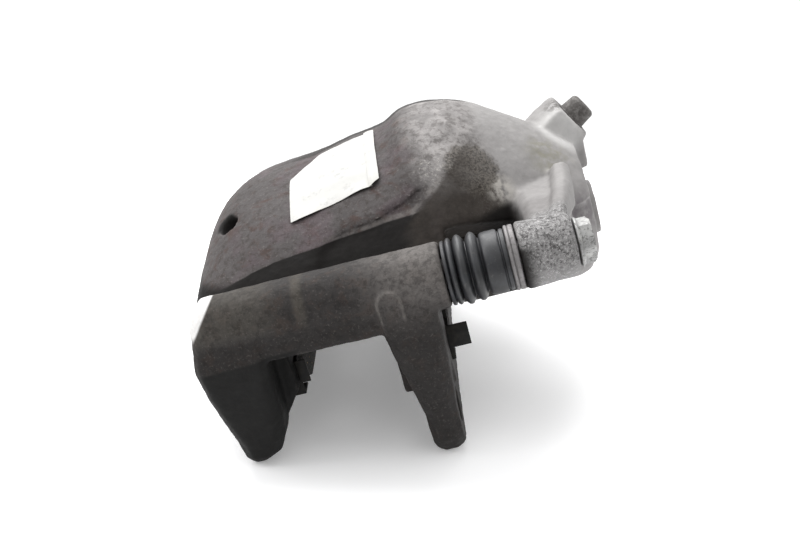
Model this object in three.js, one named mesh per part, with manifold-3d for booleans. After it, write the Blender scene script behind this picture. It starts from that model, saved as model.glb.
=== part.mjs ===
// Floating disc-brake caliper on its carrier bracket, for a 256 x 22 mm ventilated disc.
//
// Millimetres. +X runs along the disc's axis towards the middle of the vehicle (inboard), +Y runs
// along the disc's travel, +Z points out from the disc's axis. Everything is drawn about the line
// that joins the two guide pins' axes (Z = 0); the last group moves the whole unit so that the
// origin is on the carrier's mounting face, midway between its two bolt holes.

import * as THREE from "three";
import { mergeVertices } from "three/addons/utils/BufferGeometryUtils.js";
import Module from "manifold-3d";

const wasm = await Module();
wasm.setup();

// ---------------------------------------------------------------- driving dimensions

const GAP = 0.3; // air between pieces that touch
const SIDES = [-1, 1]; // near side, far side

const disc = { radius: 128, axisZ: -121 };

const pin = { y: 74, farDrop: 4.5, radius: 4.9, boreRadius: 5.5, tipX: -38, boreEndX: -45 };
const beam = { radius: 11, farRadius: 10, outboardX: -70.8, inboardX: 13.6, soleZ: -12 };
const boot = { startX: 13.9, endX: 34.3, outer: 11.4, waist: 8.6, folds: 3, innerRadius: 6.9 };
const pinFlange = { startX: 34.6, endX: 37.7, radius: 10.6 };
const lug = { startX: 38, endX: 56, radius: 11.2, endRadius: 9.8, boreRadius: 5.3 };
const bolt = { startX: 27, flangeX: 56.3, headX: 57.8, endX: 61.6, shank: 4 };
const boltHead = { flangeRadius: 8, acrossFlats: 13 };

const mountFace = { x: 6, backX: -5, holeY: 62, holeZ: -53, holeRadius: 6, lugRadius: 12.5 };
const foot = { z: -65 };
const tieBar = { startX: -66, endX: -55.5, top: -38.5, bottom: -47.6 };

const ear = { halfHeight: 5, z: -29, tipY: 61.4 }; // a pad's guiding ear, half its height in Z
const slot = { halfHeight: 6.6, backY: 63.6, mouthY: 56.5 };
const sheet = 0.6; // spring steel of the pad clips
const inboardPad = { frictionX: -6.2, plateX: -3.2, backX: 1.8, shimX: 2.8 };
const outboardPad = { frictionX: -43.9, plateX: -46.4, backX: -51.3, shimX: -52.3 };

const bore = { radius: 22, z: -12, endX: 56 };
const cylinder = { radius: 28.8, faceX: 14, endX: 68.6, mouthRadius: 25.6, mouthDepth: 5, bottom: -37.6 };
const seal = { x: 27, width: 3.4, depth: 3 };
const piston = { radius: 21.9, faceX: 3.1, endX: 45, wall: 3, nose: 20, noseLength: 12, crown: 6 };
const finger = { faceX: -52.6, bottom: -33, halfWidth: 44, gap: 9.5 };
const tunnel = disc.radius + 4;

const bleed = { x: 70.5, y: 14, z: 16.5, tiltX: 0.85, tiltZ: 0.52, capRadius: 6, capLength: 8.5 };
const inlet = { x: 72.5, y: 6, z: -18, radius: 10.5, holeRadius: 4.6 };

// ---------------------------------------------------------------- shape helpers

/** A closed geometry as a manifold solid, turned right side out if need be. */
function solid(geometry) {
  const bare = geometry.index ? geometry.toNonIndexed() : geometry.clone();
  bare.deleteAttribute("normal");
  bare.deleteAttribute("uv");
  const merged = mergeVertices(bare, 1e-4);
  const at = (i) => new THREE.Vector3().fromBufferAttribute(merged.attributes.position, i);
  const triangles = [];
  let volume = 0;
  for (let i = 0; i < merged.index.count; i += 3) {
    const [a, b, c] = [0, 1, 2].map((k) => merged.index.getX(i + k));
    if (a !== b && b !== c && c !== a) {
      triangles.push([a, b, c]);
      volume += at(a).dot(at(b).cross(at(c)));
    }
  }
  const faces = volume < 0 ? triangles.map(([a, b, c]) => [a, c, b]) : triangles;
  return new wasm.Manifold(
    new wasm.Mesh({
      numProp: 3,
      vertProperties: merged.attributes.position.array,
      triVerts: Uint32Array.from(faces.flat()),
    })
  );
}

/** A manifold solid as a three.js geometry. */
function geometryOf(manifold) {
  const mesh = manifold.getMesh();
  const geometry = new THREE.BufferGeometry();
  geometry.setAttribute("position", new THREE.BufferAttribute(mesh.vertProperties, 3));
  geometry.setIndex(new THREE.BufferAttribute(mesh.triVerts, 1));
  geometry.computeVertexNormals();
  return geometry;
}

const join = (...solids) => solids.reduce((whole, next) => whole.add(next));
const cut = (whole, ...tools) => tools.reduce((rest, tool) => rest.subtract(tool), whole);

/** A box between two corners. */
function block(x0, x1, y0, y1, z0, z1) {
  const box = new THREE.BoxGeometry(Math.abs(x1 - x0), Math.abs(y1 - y0), Math.abs(z1 - z0));
  return solid(box.translate((x0 + x1) / 2, (y0 + y1) / 2, (z0 + z1) / 2));
}

/** A turned solid about a line parallel to X; the profile holds [x, radius] pairs. */
function turned(profile, y, z, segments = 32) {
  const points = profile.map(([x, radius]) => new THREE.Vector2(radius, x));
  const lathe = new THREE.LatheGeometry([...points, points[0].clone()], segments);
  return solid(lathe.rotateZ(-Math.PI / 2).translate(0, y, z));
}

/** A round bar along X. */
function bar(x0, x1, radius, y, z, segments = 32) {
  return turned([[x0, 0], [x0, radius], [x1, radius], [x1, 0]], y, z, segments);
}

/** A shape through points, each corner rounded by a curve of the given reach. */
function outline(points, reach = 0) {
  const shape = new THREE.Shape();
  points.forEach((point, i) => {
    const corner = new THREE.Vector2(...point);
    const before = new THREE.Vector2(...points[(i + points.length - 1) % points.length]);
    const after = new THREE.Vector2(...points[(i + 1) % points.length]);
    const towards = (end) => {
      const step = end.clone().sub(corner);
      return corner.clone().addScaledVector(step, Math.min(0.45, reach / step.length()));
    };
    const from = towards(before);
    const to = towards(after);
    if (i === 0) shape.moveTo(from.x, from.y);
    else shape.lineTo(from.x, from.y);
    if (reach > 0) shape.quadraticCurveTo(corner.x, corner.y, to.x, to.y);
  });
  shape.closePath();
  return shape;
}

/** A shape drawn in (y, z), given thickness from x0 to x1. */
function plateAlongX(shape, x0, x1) {
  const options = { depth: x1 - x0, bevelEnabled: false, curveSegments: 4 };
  const extruded = new THREE.ExtrudeGeometry(shape, options);
  const turn = new THREE.Matrix4().makeBasis(
    new THREE.Vector3(0, 1, 0),
    new THREE.Vector3(0, 0, 1),
    new THREE.Vector3(1, 0, 0)
  );
  return solid(extruded.applyMatrix4(turn).translate(x0, 0, 0));
}

/** A closed skin over rings of points, every ring with the same count. */
function loft(rings) {
  const count = rings[0].length;
  const centre = (ring) => ring.reduce((sum, p) => sum.add(p), new THREE.Vector3()).divideScalar(count);
  const positions = [];
  const face = (...corners) => corners.forEach((p) => positions.push(p.x, p.y, p.z));
  for (let r = 0; r + 1 < rings.length; r += 1) {
    for (let i = 0; i < count; i += 1) {
      const [a, b] = [rings[r][i], rings[r][(i + 1) % count]];
      const [c, d] = [rings[r + 1][i], rings[r + 1][(i + 1) % count]];
      face(a, b, c);
      face(b, d, c);
    }
  }
  const [first, last] = [rings[0], rings[rings.length - 1]];
  const [start, end] = [centre(first), centre(last)];
  for (let i = 0; i < count; i += 1) {
    face(first[(i + 1) % count], first[i], start);
    face(last[i], last[(i + 1) % count], end);
  }
  const geometry = new THREE.BufferGeometry();
  geometry.setAttribute("position", new THREE.Float32BufferAttribute(positions, 3));
  return solid(geometry);
}

/** A ring with eight corners at height z: a rectangle whose corners are cut off. */
function chamferedRing(z, x0, x1, y0, y1, chamfer) {
  const c = chamfer;
  return [
    [x0 + c, y0], [x1 - c, y0], [x1, y0 + c], [x1, y1 - c],
    [x1 - c, y1], [x0 + c, y1], [x0, y1 - c], [x0, y0 + c],
  ].map(([x, y]) => new THREE.Vector3(x, y, z));
}

/** Height of a guide pin's axis: the far pin lies a little lower than the near one. */
const pinZ = (side) => (side < 0 ? 0 : -pin.farDrop);

/** The same solid on the near or the far side of Y = 0. */
const onSide = (side, manifold) => (side > 0 ? manifold : manifold.mirror([0, 1, 0]));

// ---------------------------------------------------------------- carrier bracket

/** One round beam across the disc, with a flat sole where the arms join it. */
function carrierBeam(side) {
  const { outboardX: a, inboardX: b } = beam;
  const r = side < 0 ? beam.radius : beam.farRadius;
  const profile = [[a, 0], [a, r - 5], [a + 5, r], [b - 1, r], [b, r - 1], [b, 0]];
  const sole = block(a + 0.5, b - 8, pin.y - r + 3, pin.y + r - 1.5, beam.soleZ, -4);
  return join(turned(profile, pin.y, pinZ(side), 36), sole);
}

/** The pad's guide on the inner side of an arm: a block with a slot that runs through along X. */
function slotBlock(x0, x1, outerY) {
  const shape = outline([[slot.mouthY, -41], [outerY, -41], [outerY, -9], [slot.mouthY, -13]], 2);
  const rail = plateAlongX(shape, x0, x1);
  const [low, high] = [ear.z - slot.halfHeight, ear.z + slot.halfHeight];
  return cut(rail, block(x0 - 1, x1 + 1, slot.mouthY - 1, slot.backY, low, high));
}

/** The corner that is missing from the wheel-side guide, below its slot and towards the disc. */
function guideCorner() {
  const corner = outline([[-54, -43], [-43, -28], [-30, -28], [-30, -43]]);
  const prism = new THREE.ExtrudeGeometry(corner, { depth: 40, bevelEnabled: false });
  return solid(prism.rotateX(Math.PI / 2).translate(0, slot.mouthY + 39, 0));
}

/** The slot's empty space, kept open after an arm is joined to it. */
function slotSpace(x0, x1) {
  return block(x0, x1, slot.mouthY - 8, slot.backY, ear.z - slot.halfHeight, ear.z + slot.halfHeight);
}

/** The arm that hangs from the beam on the wheel side and ends in a rounded foot. */
function outboardArm() {
  const { y } = pin;
  return loft([
    chamferedRing(2, -70, -48.5, y - 10, y + 10, 2),
    chamferedRing(-10.5, -72.6, -48.5, y - 11, y + 11.5, 2.5),
    chamferedRing(-20, -71.6, -49.5, y - 11, y + 11, 2.5),
    chamferedRing(-32, -69.4, -50, y - 11, y + 9.5, 3),
    chamferedRing(-41, -67.8, -51.5, y - 11, y + 8, 3.5),
    chamferedRing(-46.5, -67, -54.5, y - 11, y + 7, 3),
    chamferedRing(-49, -66, -59, y - 9, y + 5, 2.5),
  ]);
}

/** The arm that hangs from the beam on the vehicle side and ends in the mounting lug. */
function inboardArm() {
  const { y } = pin;
  return loft([
    chamferedRing(2, -9.5, 8.8, y - 10, y + 10, 2),
    chamferedRing(-10, -10.2, 8.8, y - 11, y + 11.5, 2.5),
    chamferedRing(-22, -8.8, 8.4, y - 13, y + 10.5, 3),
    chamferedRing(-36, -6.6, 7.2, y - 17, y + 7, 3),
    chamferedRing(-48, -4.9, mountFace.x, y - 20, y + 3.5, 3),
    chamferedRing(-59, -4.3, mountFace.x, y - 20, y + 1, 2.5),
    chamferedRing(foot.z, -3.9, mountFace.x - 1, y - 16, y - 3, 2),
  ]);
}

/** The raised arch of metal where the inboard arm meets the beam. */
function armRib() {
  const arch = outline([[-9.2, -13], [-9.2, 2.6], [-1.6, 2.6], [-1.6, -13]], 3.5);
  const rib = new THREE.ExtrudeGeometry(arch, { depth: 5, bevelEnabled: false, curveSegments: 4 });
  return solid(rib.rotateX(Math.PI / 2).translate(0, pin.y + beam.radius + 0.7, 0));
}

/** The plate between the two lugs, which carries the two mounting holes. */
function mountingBar() {
  const r = mountFace.lugRadius;
  const half = mountFace.holeY;
  const web = outline([[-half, -41.5], [half, -41.5], [half, -63], [34, -60], [-34, -60], [-half, -63]], 3);
  const lugs = SIDES.map((s) => bar(mountFace.backX, mountFace.x, r, s * half, mountFace.holeZ));
  const window = block(-20, 20, -half + 14, half - 14, -50, -30);
  return join(cut(plateAlongX(web, mountFace.backX, mountFace.x), window), ...lugs);
}

function carrierBracket() {
  const side = (s) => {
    const arms = join(
      carrierBeam(s),
      outboardArm(),
      inboardArm(),
      armRib(),
      cut(slotBlock(-54, -44.6, 70), guideCorner()),
      slotBlock(-10, 8, 70)
    );
    const rail = join(slotSpace(-60, -20), slotSpace(-20, 20));
    return onSide(s, cut(arms, rail));
  };
  const tie = block(tieBar.startX, tieBar.endX, -66, 66, tieBar.bottom, tieBar.top);
  const body = join(side(-1), side(1), tie, mountingBar());
  const drills = SIDES.flatMap((s) => [
    bar(pin.boreEndX, beam.inboardX + 1, pin.boreRadius, s * pin.y, pinZ(s), 24),
    bar(-20, 20, mountFace.holeRadius, s * mountFace.holeY, mountFace.holeZ, 32),
  ]);
  return cut(body, ...drills);
}

/** A spring clip that lines one slot, with the leaf that springs against the pad. */
function padClip(side, x0, x1, leafX0, leafX1) {
  const high = slot.halfHeight - GAP;
  const back = slot.backY - GAP;
  const front = slot.mouthY - GAP - sheet;
  const outer = block(x0, x1, front, back, ear.z - high, ear.z + high);
  const hollow = block(x0 - 1, x1 + 1, front - 1, back - sheet, ear.z - high + sheet, ear.z + high - sheet);
  const lip = block(x0, x1, front, front + sheet, ear.z + high - sheet, ear.z + high + 6);
  const leaf = block(leafX0, leafX1, back - sheet, back, ear.z - 2, ear.z + high);
  return onSide(side, join(cut(outer, hollow), lip, leaf));
}

// ---------------------------------------------------------------- caliper housing

/** Crest, half width and flank height of the housing's skin at places along X. */
const stations = [
  { x: -76.5, half: 52.5, crest: -4, flank: -8 },
  { x: -75.2, half: 56.5, crest: 5, flank: -2 },
  { x: -71.5, half: 59.5, crest: 13, flank: 0 },
  { x: -64.5, half: 61, crest: 20.5, flank: 0 },
  { x: -55, half: 61.8, crest: 26, flank: 0 },
  { x: -44, half: 62, crest: 28.5, flank: 1 },
  { x: -28, half: 62, crest: 29.5, flank: 1 },
  { x: -12, half: 62, crest: 33, flank: 1 },
  { x: 1, half: 61.5, crest: 34.5, flank: 1 },
  { x: 8, half: 60.5, crest: 38.5, flank: 1 },
  { x: 20, half: 55, crest: 39, flank: 0 },
  { x: 32, half: 46, crest: 36, flank: 0 },
  { x: 42, half: 40, crest: 30, flank: -2 },
  { x: 52, half: 36, crest: 23, flank: -4 },
  { x: 61, half: 33, crest: 16, flank: -6 },
  { x: 70.4, half: 27, crest: 8, flank: -9 },
];
const deep = -62; // lower than any part of the housing

/** A smooth curve through a station's value and its neighbours', at t from this one to the next. */
function between(key, i, t) {
  const value = (k) => stations[Math.min(Math.max(k, 0), stations.length - 1)][key];
  const [a, b, c, d] = [value(i - 1), value(i), value(i + 1), value(i + 2)];
  const [leaving, arriving] = [(c - a) / 2, (d - b) / 2];
  const cubic = 2 * b - 2 * c + leaving + arriving;
  const square = 3 * c - 3 * b - 2 * leaving - arriving;
  return b + leaving * t + square * t ** 2 + cubic * t ** 3;
}

/** The stations with one more between each two, on the smooth curve. */
function fineStations() {
  const keys = ["x", "half", "crest", "flank"];
  const middle = (i) => Object.fromEntries(keys.map((key) => [key, between(key, i, 0.5)]));
  return stations.flatMap((station, i) => (i + 1 < stations.length ? [station, middle(i)] : [station]));
}

/** The housing's arched outer skin down to a flat floor, shrunk inwards by an inset. */
function skin(inset = 0) {
  const steps = 20;
  return loft(
    fineStations().map(({ x, half, crest, flank }) => {
      const ring = [new THREE.Vector3(x, half - inset, deep), new THREE.Vector3(x, -half + inset, deep)];
      for (let i = 0; i <= steps; i += 1) {
        const across = -Math.cos((Math.PI * i) / steps);
        const rise = 1 - Math.abs(across) ** 2.1;
        ring.push(new THREE.Vector3(x, across * (half - inset), flank + (crest - inset - flank) * rise));
      }
      return ring;
    })
  );
}

/** Where metal may be between the disc's rim and the sky. */
function bridgeZone() {
  const shape = new THREE.Shape();
  shape.moveTo(-70, 60);
  shape.lineTo(-70, -12);
  const spread = Math.asin(66 / tunnel);
  shape.absarc(0, disc.axisZ, tunnel, Math.PI / 2 + spread, Math.PI / 2 - spread, true);
  shape.lineTo(70, -12);
  shape.lineTo(70, 60);
  shape.closePath();
  return plateAlongX(shape, finger.faceX - 1, cylinder.faceX + 1);
}

/** The two fingers that press the outboard pad, hanging from the bridge's wheel side. */
function fingerZone() {
  const { halfWidth: w, bottom, gap } = finger;
  const profile = outline([
    [-68, 60], [-68, -6], [-w - 4, -9], [-w, bottom], [-gap, bottom], [-gap, -8],
    [gap, -8], [gap, bottom], [w, bottom], [w + 4, -9], [68, -6], [68, 60],
  ], 4);
  return plateAlongX(profile, -80, finger.faceX);
}

/** The cylinder's round outside and the shoulders above it. */
function cylinderZone() {
  const { radius: r, faceX, endX, bottom } = cylinder;
  const profile = [[faceX, 0], [faceX, r], [endX - 9, r], [endX - 4, r - 2], [endX, r - 7], [endX, 0]];
  const round = cut(turned(profile, 0, bore.z, 40), block(0, 80, -40, 40, bottom, bottom - 20));
  const left = [[-68, 60], [-68, 8.5], [-50, 7], [-34, -4]];
  const right = left.map(([y, z]) => [-y, z]).reverse();
  return join(round, plateAlongX(outline([...left, ...right], 3), faceX, endX));
}

/** A ring with eight corners in a plane across Y. */
function ringAcrossY(y, x0, x1, z0, z1, chamfer) {
  return chamferedRing(0, x0, x1, z0, z1, chamfer).map(({ x, y: z }) => new THREE.Vector3(x, y, z));
}

/** One guide-pin lug, the web that ties it to the cylinder and the ridge on top of the web. */
function pinEar(side) {
  const z = pinZ(side);
  const { startX, endX, radius, endRadius } = lug;
  const web = loft([
    ringAcrossY(pin.y, 41, 53, z - 8, z + 8, 3),
    ringAcrossY(62, 42, 55, z - 9, z + 8, 3),
    ringAcrossY(48, 42, 58, -14, 8, 3),
    ringAcrossY(32, 40, 60, -22, 8, 4),
    ringAcrossY(20, 38, 61, -28, 8, 4),
  ]);
  const ridge = loft([
    ringAcrossY(73, 49, 54, z + 2, z + 9, 1.5),
    ringAcrossY(60, 51, 57, z + 2, z + 10, 1.5),
    ringAcrossY(44, 54, 61, 0, 12, 2),
    ringAcrossY(24, 56, 63, -2, 12, 2),
  ]);
  const barrel = [
    [startX, 0], [startX, radius - 0.6], [startX + 0.6, radius], [endX - 4, endRadius + 0.6],
    [endX - 1, endRadius], [endX, endRadius - 1], [endX, 0],
  ];
  return join(web, ridge, turned(barrel, pin.y, z));
}

/** A solid turned about the bleed screw's tilted axis; profile holds [distance, radius] pairs. */
function alongBleedAxis(profile, segments = 24) {
  const points = profile.map(([along, radius]) => new THREE.Vector2(radius, along));
  const lathe = new THREE.LatheGeometry([...points, points[0].clone()], segments);
  const axis = new THREE.Vector3(bleed.tiltX, 0, bleed.tiltZ).normalize();
  lathe.applyQuaternion(new THREE.Quaternion().setFromUnitVectors(new THREE.Vector3(0, 1, 0), axis));
  return solid(lathe.translate(bleed.x, bleed.y, bleed.z));
}

/** The horn that holds the bleed screw, and the boss that takes the brake hose. */
function ports() {
  const horn = alongBleedAxis([[-30, 0], [-30, 12], [-12, 11], [-3, 9.8], [2, 8.6], [2, 0]]);
  const sections = [
    [50, 11, 15],
    [58, 12, 21],
    [64, 11, 24.5],
    [69, 9.5, 26],
    [73, 8, 23.6],
  ];
  const crown = loft(
    sections.map(([x, half, top]) =>
      [[-half, -2], [half, -2], [half, top - 3], [half * 0.5, top], [-half * 0.5, top], [-half, top - 3]].map(
        ([y, z]) => new THREE.Vector3(x, bleed.y + y, z)
      )
    )
  );
  const boss = bar(58, inlet.x, inlet.radius, inlet.y, inlet.z, 32);
  return join(horn, crown, boss);
}

/** Bores and hollows of the cylinder: piston bore, seal groove, boot mouth, hose and bleed holes. */
function borings() {
  const { x, width, depth } = seal;
  const { radius: r, endX } = bore;
  return [
    turned([[0, 0], [0, r], [endX - 2, r], [endX, r - 2], [endX, 0]], 0, bore.z, 48),
    bar(0, cylinder.faceX + cylinder.mouthDepth, cylinder.mouthRadius, 0, bore.z, 48),
    bar(x - width / 2, x + width / 2, r + depth, 0, bore.z, 48),
    alongBleedAxis([[-4.9, 0], [-4.9, 7], [0.5, 7], [0.5, 16], [20, 16], [20, 0]]),
    bar(endX - 1, inlet.x + 1, inlet.holeRadius, inlet.y, inlet.z, 24),
    alongBleedAxis([[-18, 0], [-18, 3.6], [-4, 3.6], [-4, 0]], 20),
    alongBleedAxis([[-34, 0], [-34, 1.8], [-17, 1.8], [-17, 0]], 12),
    ...SIDES.map((s) => bar(lug.startX - 1, lug.endX + 1, lug.boreRadius, s * pin.y, pinZ(s), 24)),
  ];
}

/** The shallow panel sunk into each flank, between the bridge's rim and the ridge above it. */
function flankPanels() {
  const window = new THREE.Shape();
  window.moveTo(-30, 3);
  window.quadraticCurveTo(-28, 12, -18, 13.5);
  window.lineTo(-5, 15);
  window.quadraticCurveTo(6, 17.5, 11, 21);
  window.lineTo(13, 14);
  window.lineTo(13.6, 3);
  window.closePath();
  const through = new THREE.ExtrudeGeometry(window, { depth: 140, bevelEnabled: false, curveSegments: 5 });
  const prism = solid(through.rotateX(Math.PI / 2).translate(0, 70, 0));
  const middle = block(-80, 80, -36, 36, -20, 60);
  return cut(prism, skin(2.2), middle);
}

function caliperHousing() {
  const zones = join(bridgeZone(), fingerZone(), cylinderZone());
  const slant = plateAlongX(outline([[-80, -14], [80, -14], [80, -70], [-80, -70]]), -90, -71);
  const hole = bar(-8, 9, 4.3, 0, 0, 20).rotate([0, 50, 0]).translate([-60.7, -25, 18.8]);
  const shell = cut(skin().intersect(zones), slant, hole, flankPanels());
  return cut(join(shell, ...SIDES.map((s) => onSide(s, pinEar(s))), ports()), ...borings());
}

// ---------------------------------------------------------------- guide pins, bolts and boots

function guidePin(side) {
  const { radius: r, tipX } = pin;
  const thread = bolt.shank + GAP;
  const { startX, endX, radius } = pinFlange;
  const profile = [
    [tipX, 0], [tipX, r - 1], [tipX + 1, r], [startX, r], [startX, radius], [endX, radius], [endX, r],
    [lug.endX - 1, r], [lug.endX - 1, thread], [26, thread], [26, 0],
  ];
  return turned(profile, side * pin.y, pinZ(side), 24);
}

/** A flanged hexagon bolt that holds a guide pin to its lug. */
function pinBolt(side) {
  const { startX, flangeX, headX, endX, shank } = bolt;
  const { flangeRadius, acrossFlats } = boltHead;
  const round = [
    [startX, 0], [startX, shank], [flangeX, shank], [flangeX, flangeRadius],
    [headX, flangeRadius - 0.8], [headX, 0],
  ];
  const corner = acrossFlats / Math.sqrt(3);
  const head = [[headX - 0.5, 0], [headX - 0.5, corner], [endX, corner], [endX, 0]];
  const place = [side * pin.y, pinZ(side)];
  return join(turned(round, ...place, 24), turned(head, ...place, 6));
}

/** A rubber bellows between the beam's end and the pin's flange. */
function pinBoot(side) {
  const { startX, endX, outer, waist, folds, innerRadius } = boot;
  const profile = [[startX, innerRadius], [startX, outer - 1]];
  const steps = folds * 4;
  for (let i = 0; i <= steps; i += 1) {
    const x = startX + 2.4 + ((endX - startX - 4.8) * i) / steps;
    const wave = 0.5 + 0.5 * Math.cos((2 * Math.PI * folds * i) / steps + Math.PI);
    profile.push([x, waist + (outer - waist) * wave]);
  }
  profile.push([endX, outer - 1.4], [endX, innerRadius]);
  return turned(profile, side * pin.y, pinZ(side), 20);
}

// ---------------------------------------------------------------- piston, seals and pads

/** The hollow steel piston, open towards the pad, with a groove for its boot behind the nose. */
function hollowPiston() {
  const { radius: r, faceX, endX, wall, nose, noseLength, crown } = piston;
  const groove = nose - 1.2;
  const shoulder = faceX + noseLength;
  const profile = [
    [faceX, nose - wall], [faceX, nose], [shoulder - 3, nose], [shoulder - 2, groove],
    [shoulder, groove], [shoulder + 1, r], [endX - 1.5, r], [endX, r - 1.5], [endX, 0],
    [endX - crown, 0], [endX - crown, nose - wall],
  ];
  return turned(profile, 0, bore.z, 48);
}

/** The square rubber ring that seals the piston, in its groove in the bore. */
function pistonSeal() {
  const inner = piston.radius + 0.15;
  const outer = bore.radius + seal.depth - GAP;
  const [a, b] = [seal.x - seal.width / 2 + GAP, seal.x + seal.width / 2 - GAP];
  return turned([[a, inner], [a, outer], [b, outer], [b, inner]], 0, bore.z, 40);
}

/** The rubber dust boot between the cylinder's mouth and the piston's nose. */
function dustBoot() {
  const edge = cylinder.mouthRadius - GAP;
  const nose = piston.nose + GAP;
  const { faceX } = cylinder;
  const profile = [
    [faceX + 4.4, edge], [faceX + 2.2, edge], [faceX + 2.2, edge - 1.7], [faceX - 1.5, edge - 1.9],
    [faceX - 4, edge - 2.3], [faceX - 4, nose], [faceX - 2.4, nose], [faceX - 2.4, nose + 1.6],
    [faceX + 0.6, nose + 2.2], [faceX + 4.4, nose + 2.8],
  ];
  return turned(profile, 0, bore.z, 40);
}

/** The steel ring that holds the dust boot's edge in the cylinder's mouth. */
function bootRing() {
  const edge = cylinder.mouthRadius - GAP;
  const inner = edge - 1.3;
  const { faceX } = cylinder;
  const [start, end] = [faceX + 0.4, faceX + 1.9];
  return turned([[start, inner], [start, edge], [end, edge], [end, inner]], 0, bore.z, 40);
}

/** A pad's outline in (y, z); only the backing plate has ears. */
function padShape(halfWidth, bottom, top, ears) {
  const [low, high] = [ear.z - ear.halfHeight, ear.z + ear.halfHeight];
  const earCorners = [[halfWidth, low], [ear.tipY, low], [ear.tipY, high], [halfWidth, high]];
  const right = [
    [halfWidth - 7, bottom], [halfWidth, bottom + 3], ...(ears ? earCorners : []), [halfWidth, high + 5],
    [halfWidth - 14, top - 6], [halfWidth - 34, top],
  ];
  const left = right.map(([y, z]) => [-y, z]).reverse();
  return outline([...right, ...left], 1.2);
}

/** A pad's plate, friction block and shim, lying from the disc's side outwards. */
function padPieces(name, place) {
  const { frictionX, plateX, backX, shimX } = place;
  const slab = (shape, x0, x1) => plateAlongX(shape, Math.min(x0, x1), Math.max(x0, x1));
  const air = Math.sign(plateX - frictionX) * GAP;
  return {
    [`${name}_backing_plate`]: slab(padShape(52, -38, 5, true), plateX, backX),
    [`${name}_friction_block`]: slab(padShape(51, -37.6, 4.5, false), frictionX, plateX - air),
    [`${name}_shim`]: slab(padShape(48, -36, 3, false), backX + air, shimX),
  };
}

// ---------------------------------------------------------------- bleed screw and label

function bleedScrew() {
  const body = alongBleedAxis([[-17, 0], [-14, 3.3], [-4.6, 3.3], [-4.6, 0]], 20);
  const hex = alongBleedAxis([[-4.8, 0], [-4.8, 5.2], [-1.2, 5.2], [-1.2, 0]], 6);
  const nipple = alongBleedAxis([[-1.4, 0], [-1.4, 2.6], [1.5, 2.6], [2.6, 3.4], [4.2, 2.4], [4.2, 0]], 16);
  return join(body, hex, nipple);
}

/** The rubber cap pushed over the bleed screw's nipple. */
function bleedCap() {
  const { capRadius: r, capLength: length } = bleed;
  const start = -0.9;
  const profile = [
    [start, 3.8], [start, r - 0.6], [start + 0.8, r], [start + length - 1.5, r - 0.5],
    [start + length, r - 2], [start + length, 0], [4.6, 0], [4.6, 3.8],
  ];
  return alongBleedAxis(profile, 20);
}

/** A blank paper label that lies on the bridge's crown. */
function bridgeLabel() {
  const patch = outline([[-36, -40], [-9, -38], [-1.5, -34], [-3, -2], [-24, -1], [-32, -8], [-36, -17]]);
  const prism = new THREE.ExtrudeGeometry(patch, { depth: 100, bevelEnabled: false });
  return cut(solid(prism).intersect(skin(-0.7)), skin(-0.25));
}

// ---------------------------------------------------------------- assembly

const finish = {
  castIron: { color: 0x5d5652, roughness: 0.62, metalness: 0.55 },
  darkIron: { color: 0x2e2826, roughness: 0.68, metalness: 0.45 },
  zinc: { color: 0xa9a9a6, roughness: 0.45, metalness: 0.9 },
  steel: { color: 0x8b8b8c, roughness: 0.35, metalness: 0.95 },
  blackSteel: { color: 0x171614, roughness: 0.55, metalness: 0.6 },
  rubber: { color: 0x121316, roughness: 0.5, metalness: 0 },
  friction: { color: 0x2b2a29, roughness: 0.95, metalness: 0 },
  paper: { color: 0xe6e4de, roughness: 0.7, metalness: 0 },
};

/** Adds one named piece to a group. */
function addPiece(group, name, manifold, look) {
  const mesh = new THREE.Mesh(geometryOf(manifold), new THREE.MeshStandardMaterial(finish[look]));
  mesh.name = name;
  group.add(mesh);
}

function carrierGroup() {
  const group = new THREE.Group();
  addPiece(group, "carrier_bracket", carrierBracket(), "darkIron");
  for (const side of SIDES) {
    const place = side < 0 ? "near" : "far";
    addPiece(group, `${place}_inboard_pad_clip`, padClip(side, -10.6, 9.4, 9, 15.7), "blackSteel");
    addPiece(group, `${place}_outboard_pad_clip`, padClip(side, -54.6, -43.9, -44.2, -41), "blackSteel");
  }
  return group;
}

function addPads(group, name, place) {
  for (const [node, manifold] of Object.entries(padPieces(name, place))) {
    addPiece(group, node, manifold, node.includes("friction") ? "friction" : "blackSteel");
  }
}

function housingGroup() {
  const group = new THREE.Group();
  addPiece(group, "caliper_housing", caliperHousing(), "castIron");
  for (const side of SIDES) {
    const place = side < 0 ? "near" : "far";
    addPiece(group, `${place}_guide_pin`, guidePin(side), "steel");
    addPiece(group, `${place}_pin_bolt`, pinBolt(side), "zinc");
    addPiece(group, `${place}_pin_boot`, pinBoot(side), "rubber");
  }
  addPiece(group, "piston_seal", pistonSeal(), "rubber");
  addPiece(group, "piston_dust_boot", dustBoot(), "rubber");
  addPiece(group, "dust_boot_ring", bootRing(), "steel");
  addPiece(group, "bridge_label", bridgeLabel(), "paper");
  addPads(group, "outboard_pad", outboardPad);
  return group;
}

function pistonGroup() {
  const group = new THREE.Group();
  addPiece(group, "piston", hollowPiston(), "steel");
  addPads(group, "inboard_pad", inboardPad);
  return group;
}

function bleedGroup() {
  const group = new THREE.Group();
  addPiece(group, "bleed_screw", bleedScrew(), "zinc");
  addPiece(group, "bleed_cap", bleedCap(), "rubber");
  return group;
}

const caliper = new THREE.Group();
caliper.add(carrierGroup(), housingGroup(), pistonGroup(), bleedGroup());
caliper.position.set(-mountFace.x, 0, -mountFace.holeZ);

const unit = new THREE.Group();
unit.add(caliper);
export default unit;
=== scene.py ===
"""A used floating brake caliper standing on the feet of its carrier bracket, on a white floor.

The CAD frame gives every place. Sizes here are millimetres about the guide pins' line, as in the
part's own drawing, and at() turns them into metres in the shared frame.
"""

import math

import bmesh
import bpy
import numpy as np
from mathutils import Matrix, Vector, noise
from mathutils.bvhtree import BVHTree


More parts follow.
